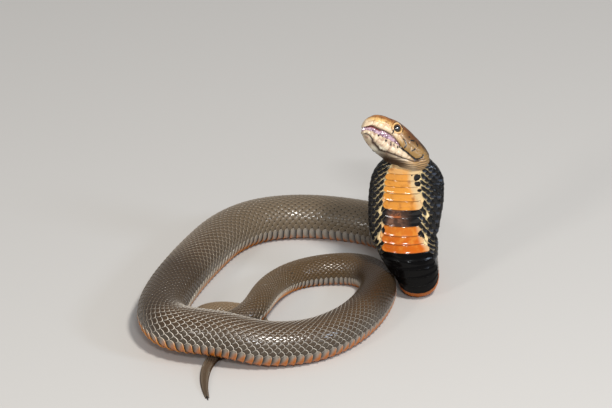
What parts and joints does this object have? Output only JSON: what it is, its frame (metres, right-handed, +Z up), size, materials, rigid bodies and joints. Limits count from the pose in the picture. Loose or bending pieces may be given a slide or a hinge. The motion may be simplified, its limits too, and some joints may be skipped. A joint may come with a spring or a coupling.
{
  "type": "mozambique spitting cobra",
  "caption": "Mozambique spitting cobra as a still life-size model: body in a loose coil, neck raised, hood half spread, head turned aside with the mouth a little open.",
  "frame": {"origin": "on the floor, below the middle of the coil's bounding box", "axes": "+Z up, -Y towards the viewer of the picture, +X to the viewer's right, where the raised neck stands"},
  "size_m": [0.1611, 0.1936, 0.1023],
  "materials": {
    "head_scales": "smooth satin head shields, tan to orange-brown",
    "pale_labials": "smooth satin, cream with brown sutures",
    "mouth_lining": "wet pinkish tissue",
    "eye": "wet black with a dark brown iris",
    "hood_scales": "satin, orange belly plates with black bands between black side scales",
    "olive_scales": "satin olive-brown scales with paler edges"
  },
  "bodies": {
    "root": {"head": "head_scales", "lower_jaw": "pale_labials", "mouth_lining": "mouth_lining", "eye_left": "eye", "eye_right": "eye", "hood": "hood_scales", "neck_base": "olive_scales", "body_1": "olive_scales", "body_2": "olive_scales", "body_3": "olive_scales", "body_4": "olive_scales", "body_5": "olive_scales", "body_6": "olive_scales", "body_7": "olive_scales", "body_8": "olive_scales", "tail_1": "olive_scales", "tail_2": "olive_scales", "tail_3": "olive_scales"}
  },
  "joints": []
}
